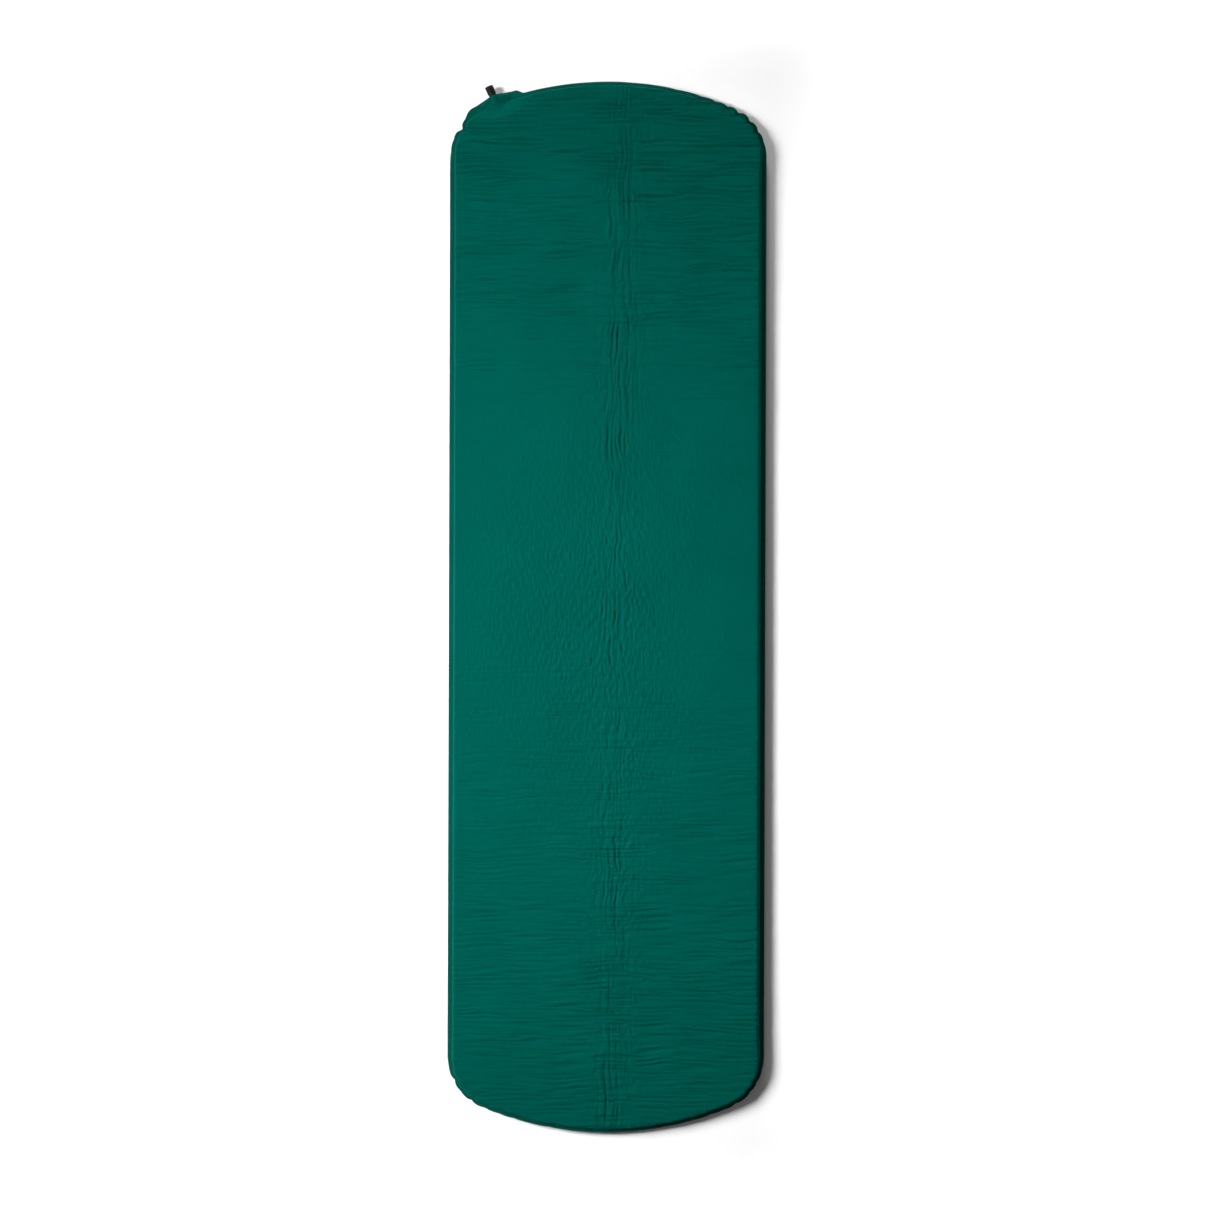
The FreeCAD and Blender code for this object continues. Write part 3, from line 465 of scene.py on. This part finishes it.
class Nodes:
    """A short way to write a node material round one Principled shader."""

    def __init__(self, name):
        self.material = bpy.data.materials.new(name)
        self.material.use_nodes = True
        self.tree = self.material.node_tree
        self.shader = self.tree.nodes["Principled BSDF"]
        place = self.tree.nodes.new("ShaderNodeTexCoord")
        self.place = place.outputs["Object"]

    def set(self, **values):
        for name, value in values.items():
            self.shader.inputs[name.replace("_", " ")].default_value = value

    def node(self, kind, **settings):
        made = self.tree.nodes.new("ShaderNode" + kind)
        for name, value in settings.items():
            setattr(made, name, value)
        return made

    def link(self, source, target):
        self.tree.links.new(source, target)

    def noise(self, scale, detail=2.0, stretch=(1, 1, 1)):
        """Noise over the object, with features about 1/scale metres across."""
        mapping = self.node("Mapping")
        mapping.inputs["Scale"].default_value = stretch
        self.link(self.place, mapping.inputs["Vector"])
        made = self.node("TexNoise")
        made.inputs["Scale"].default_value = scale
        made.inputs["Detail"].default_value = detail
        self.link(mapping.outputs[0], made.inputs["Vector"])
        return made.outputs["Fac"]

    def weave(self, pitch):
        """Threads of that pitch over and under each other, as a height from 0 to 1."""
        parts = self.node("SeparateXYZ")
        self.link(self.place, parts.inputs[0])
        waves = []
        for axis in ("X", "Y"):
            turn = self.node("Math", operation="MULTIPLY")
            self.link(parts.outputs[axis], turn.inputs[0])
            turn.inputs[1].default_value = math.pi / pitch
            wave = self.node("Math", operation="SINE")
            self.link(turn.outputs[0], wave.inputs[0])
            waves.append(wave.outputs[0])
        both = self.node("Math", operation="MULTIPLY")
        self.link(waves[0], both.inputs[0])
        self.link(waves[1], both.inputs[1])
        return both.outputs[0]

    def remap(self, source, low, high):
        made = self.node("MapRange")
        made.inputs["To Min"].default_value = low
        made.inputs["To Max"].default_value = high
        self.link(source, made.inputs["Value"])
        return made.outputs[0]

    def colours(self, source, *stops):
        """A colour ramp: stops are (place, colour)."""
        ramp = self.node("ValToRGB")
        ramp.color_ramp.elements[0].position = stops[0][0]
        ramp.color_ramp.elements[0].color = (*stops[0][1], 1)
        ramp.color_ramp.elements[1].position = stops[-1][0]
        ramp.color_ramp.elements[1].color = (*stops[-1][1], 1)
        for place, colour in stops[1:-1]:
            ramp.color_ramp.elements.new(place).color = (*colour, 1)
        self.link(source, ramp.inputs["Fac"])
        self.link(ramp.outputs["Color"], self.shader.inputs["Base Color"])

    def rough(self, source, low, high):
        self.link(self.remap(source, low, high), self.shader.inputs["Roughness"])

    def glow_beyond(self, half_width, half_length, reach, strength):
        """White light from the material, rising to full strength that far outside the rectangle."""
        parts = self.node("SeparateXYZ")
        self.link(self.place, parts.inputs[0])
        offset = self.node("CombineXYZ")
        for axis, half in (("X", half_width), ("Y", half_length)):
            size = self.node("Math", operation="ABSOLUTE")
            self.link(parts.outputs[axis], size.inputs[0])
            beyond = self.node("Math", operation="SUBTRACT")
            self.link(size.outputs[0], beyond.inputs[0])
            beyond.inputs[1].default_value = half
            outside = self.node("Math", operation="MAXIMUM")
            self.link(beyond.outputs[0], outside.inputs[0])
            outside.inputs[1].default_value = 0
            self.link(outside.outputs[0], offset.inputs[axis])
        distance = self.node("VectorMath", operation="LENGTH")
        self.link(offset.outputs[0], distance.inputs[0])
        rise = self.node("MapRange", interpolation_type="SMOOTHSTEP")
        rise.inputs["From Max"].default_value = reach
        rise.inputs["To Max"].default_value = strength
        self.link(distance.outputs["Value"], rise.inputs["Value"])
        self.link(rise.outputs[0], self.shader.inputs["Emission Strength"])
        self.set(Emission_Color=(1, 1, 1, 1))

    def bumps(self, *layers):
        """Bump layers: (height, distance in metres, strength)."""
        normal = None
        for height, distance, strength in layers:
            bump = self.node("Bump")
            bump.inputs["Distance"].default_value = distance
            bump.inputs["Strength"].default_value = strength
            self.link(height, bump.inputs["Height"])
            if normal:
                self.link(normal, bump.inputs["Normal"])
            normal = bump.outputs["Normal"]
        self.link(normal, self.shader.inputs["Normal"])


def coated_cloth(name, dark, light, roughness, specular):
    """Polyester with a matt coating: a fine weave, small creases and slightly uneven dye."""
    made = Nodes(name)
    made.colours(made.noise(9, 3), (0.3, dark), (0.7, light))
    made.rough(made.noise(38, 4), roughness - 0.05, roughness + 0.05)
    made.set(Specular_IOR_Level=specular)
    made.bumps(
        (made.noise(230, 2, (1, 0.35, 1)), 0.5 * MM, 0.12),
        (made.weave(0.45 * MM), 0.02 * MM, 0.25),
    )
    return made.material


def foam():
    made = Nodes("open_cell_foam")
    made.colours(made.noise(700, 4), (0.3, (0.55, 0.48, 0.30)), (0.75, (0.80, 0.74, 0.55)))
    made.set(Roughness=0.95, Specular_IOR_Level=0.2)
    made.bumps((made.noise(900, 4), 1 * MM, 0.8))
    return made.material


def plastic(name, colour, roughness, grain):
    made = Nodes(name)
    lighter = tuple(c * 1.5 for c in colour)
    made.colours(made.noise(120, 3), (0.35, colour), (0.7, lighter))
    made.rough(made.noise(600, 3), roughness - 0.06, roughness + 0.06)
    made.bumps((made.noise(2200, 2), grain, 0.5))
    made.set(Specular_IOR_Level=0.12)
    return made.material


TOP_CLOTH = coated_cloth("top_cloth", (0.0, 0.064, 0.049), (0.0, 0.070, 0.054), 0.75, 0.02)
TOP_CLOTH.node_tree.nodes["Principled BSDF"].inputs["Specular Tint"].default_value = (0.1, 1, 0.9, 1)
BOTTOM_CLOTH = coated_cloth("bottom_cloth", (0.034, 0.036, 0.037), (0.044, 0.046, 0.047), 0.62, 0.35)
FOAM = foam()
SOFT_BLACK = plastic("soft_black", (0.0015, 0.0012, 0.0014), 0.5, 0.2 * MM)
HARD_BLACK = plastic("hard_black", (0.0012, 0.001, 0.0011), 0.42, 0.1 * MM)
RUBBER = plastic("seal_rubber", (0.012, 0.012, 0.012), 0.5, 0.1 * MM)


# ---- Pieces ----


def upper_height(xy, z, wave):
    """Heights of the upper sheet: its form, the hump over the valve and the cloth's relief."""
    face = fade(z, 0.75 * (TOP - RIM), TOP - RIM - 1.5 * MM)
    lip = 0.6 * MM * fade(-xy[:, 0], HALF_WIDTH - 28 * MM, HALF_WIDTH - 12 * MM)
    droop = 0.9 * MM * fade(xy[:, 0], HALF_WIDTH - 24 * MM, HALF_WIDTH - 8 * MM)
    z = z + (relief(xy[:, 0], xy[:, 1]) + lip - droop) * face
    return RIM + over_valve(xy, z, HUMP_HEIGHT) + np.minimum(wave, 1) * (hump(xy) <= 0)


def lower_height(xy, z, wave):
    """Heights of the lower sheet, which lies flat on the floor."""
    slack = 0.4 * MM * (1 + noise(xy[:, 0], xy[:, 1], 0.03, 0.012, 40))
    depth = over_valve(xy, z - slack * fade(z, 0.7 * (RIM - FLOOR), RIM - FLOOR), LOWER_HUMP)
    return np.maximum(RIM - depth + wave * (hump(xy) <= 0), FLOOR + 0.1 * MM)


def soft_with_air(piece, *nodes):
    """A piece that rides on the pad and goes flat when the air is let out."""
    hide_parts(*nodes)
    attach(piece, "pad")
    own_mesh(piece)
    return piece


def make_upper_sheet():
    sheet = Sheet(ring_step=2.1 * MM, face_step=1.9 * MM, rise=TOP - RIM, seed=100)
    piece = sheet.build("upper_sheet", 0.0, upper_height, TOP_CLOTH)
    return soft_with_air(piece, "top_fabric")


def make_lower_sheet():
    sheet = Sheet(ring_step=4 * MM, face_step=7 * MM, rise=RIM - FLOOR, seed=100)
    piece = flip_faces(sheet.build("lower_sheet", 0.9 * MM, lower_height, BOTTOM_CLOTH))
    return soft_with_air(piece, "bottom_fabric")


def make_foam():
    """The slab between the sheets, cut away round the valve."""
    point, normal, signs, past = outline(8 * MM)
    u, w = valve_place(point)
    near_valve = bell(u, 0, 52 * MM) * fade(w, -0.1, -0.04)
    inset = 12 * MM + 1.3 * gathered(signs, past) + 46 * MM * near_valve
    count = len(point)
    heights = (FLOOR + 2 * MM, FLOOR + 9 * MM, TOP - 11 * MM, TOP - 5 * MM)
    extra = (6 * MM, 0, 0, 6 * MM)
    rings = [
        np.column_stack([point - normal * (inset + more)[:, None], np.full(count, height)])
        for height, more in zip(heights, extra)
    ]
    faces = [tuple(range(count))[::-1], tuple(range(3 * count, 4 * count))]
    faces += ring_faces(len(rings), count)
    piece = new_piece("foam_slab", np.vstack(rings), faces, FOAM)
    return soft_with_air(piece, "foam_core")


HOOD_HALF_WIDTH = 24 * MM


def make_hood(name, side, height, material):
    """The cloth shaped over one side of the valve's base. It keeps its shape when the pad goes flat."""
    across = np.linspace(-HOOD_HALF_WIDTH, HOOD_HALF_WIDTH, 41)
    inwards = np.linspace(-30 * MM, -5 * MM, 26)
    u, w = [values.ravel() for values in np.meshgrid(across, inwards)]
    xy = VALVE_AT + u[:, None] * VALVE_ACROSS + w[:, None] * VALVE_OUT
    cloth = over_valve(xy, np.full(len(xy), CLOTH), height) - CLOTH
    rise = cloth - 0.4 * MM - 1.2 * MM * fade(np.abs(u), 20 * MM, HOOD_HALF_WIDTH)
    z = RIM + side * rise
    faces = []
    for row in range(len(inwards) - 1):
        for column in range(len(across) - 1):
            corner = row * len(across) + column
            faces.append((corner, corner + 1, corner + 1 + len(across), corner + len(across)))
    piece = new_piece(name, np.column_stack([xy, z]), faces, material)
    if side < 0:
        flip_faces(piece)
    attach(piece, "valve")
    return piece


def finish_valve():
    finishes = {
        "valve_base": SOFT_BLACK,
        "valve_stem": HARD_BLACK,
        "inlet_screen": HARD_BLACK,
        "valve_plug": HARD_BLACK,
        "valve_knob": HARD_BLACK,
        "plug_seal": RUBBER,
        "knob_seal": RUBBER,
    }
    for name, material in finishes.items():
        for slot in frame["nodes"][name].material_slots:
            slot.link = "OBJECT"
            slot.material = material


make_upper_sheet()
make_lower_sheet()
make_foam()
make_hood("valve_hood_upper", 1, HUMP_HEIGHT, TOP_CLOTH)
make_hood("valve_hood_lower", -1, LOWER_HUMP, BOTTOM_CLOTH)
finish_valve()


# ---- The floor, the lights and the camera ----

# The whole picture is this wide at the height of the rim, and the pad stands in its middle
VIEW_WIDTH = 2.116
LENS, SENSOR = 100, 36
ROLL = math.radians(0.17)
FLOOR_HALF = 6  # half the floor's side


def make_floor():
    mesh = bpy.data.meshes.new("floor")
    signs = ((-1, -1), (1, -1), (1, 1), (-1, 1))
    corners = [(sx * FLOOR_HALF, sy * FLOOR_HALF) for sx, sy in signs]
    mesh.from_pydata([(x, y, FLOOR) for x, y in corners], [], [(0, 1, 2, 3)])
    floor = bpy.data.objects.new("floor", mesh)
    bpy.context.scene.collection.objects.link(floor)
    made = Nodes("pale_floor")
    made.set(Base_Color=(0.92, 0.92, 0.92, 1), Roughness=0.9, Specular_IOR_Level=0.1)
    made.glow_beyond(HALF_WIDTH, HALF_LENGTH, 0.35, 0.8)
    mesh.materials.append(made.material)


def make_light(name, place, aim, size, power, spread=180):
    light = bpy.data.lights.new(name, "AREA")
    light.spread = math.radians(spread)
    light.shape = "DISK"
    light.size = size
    light.energy = power
    lamp = bpy.data.objects.new(name, light)
    bpy.context.scene.collection.objects.link(lamp)
    lamp.location = place
    lamp.rotation_euler = (Vector(aim) - Vector(place)).to_track_quat("-Z", "Y").to_euler()


def make_camera():
    camera = bpy.data.cameras.new("camera")
    camera.lens, camera.sensor_width = LENS, SENSOR
    camera.clip_end = 100
    holder = bpy.data.objects.new("camera", camera)
    bpy.context.scene.collection.objects.link(holder)
    holder.location = (0, 0, RIM + VIEW_WIDTH * LENS / SENSOR)
    holder.rotation_euler = (0, 0, ROLL)
    bpy.context.scene.camera = holder


def make_world(strength, seen):
    """An even pale room: it lights with one strength and looks as bright as the other."""
    world = bpy.data.worlds.new("studio")
    world.use_nodes = True
    nodes, links = world.node_tree.nodes, world.node_tree.links
    background = nodes["Background"]
    background.inputs["Color"].default_value = (1, 1, 1, 1)
    path = nodes.new("ShaderNodeLightPath")
    either = nodes.new("ShaderNodeMapRange")
    either.inputs["To Min"].default_value = strength
    either.inputs["To Max"].default_value = seen
    links.new(path.outputs["Is Camera Ray"], either.inputs["Value"])
    links.new(either.outputs["Result"], background.inputs["Strength"])
    bpy.context.scene.world = world


make_floor()
make_light("key", (-2.84, 0.62, 3.06), (-0.42, -0.16, 0), 1.8, 33, spread=47)
make_light("head", (0.1, 2.5, 0.9), (0, 0.4, 0), 0.7, 20)
make_world(0.12, 0.85)
make_camera()
bpy.context.scene.view_settings.view_transform = "Standard"
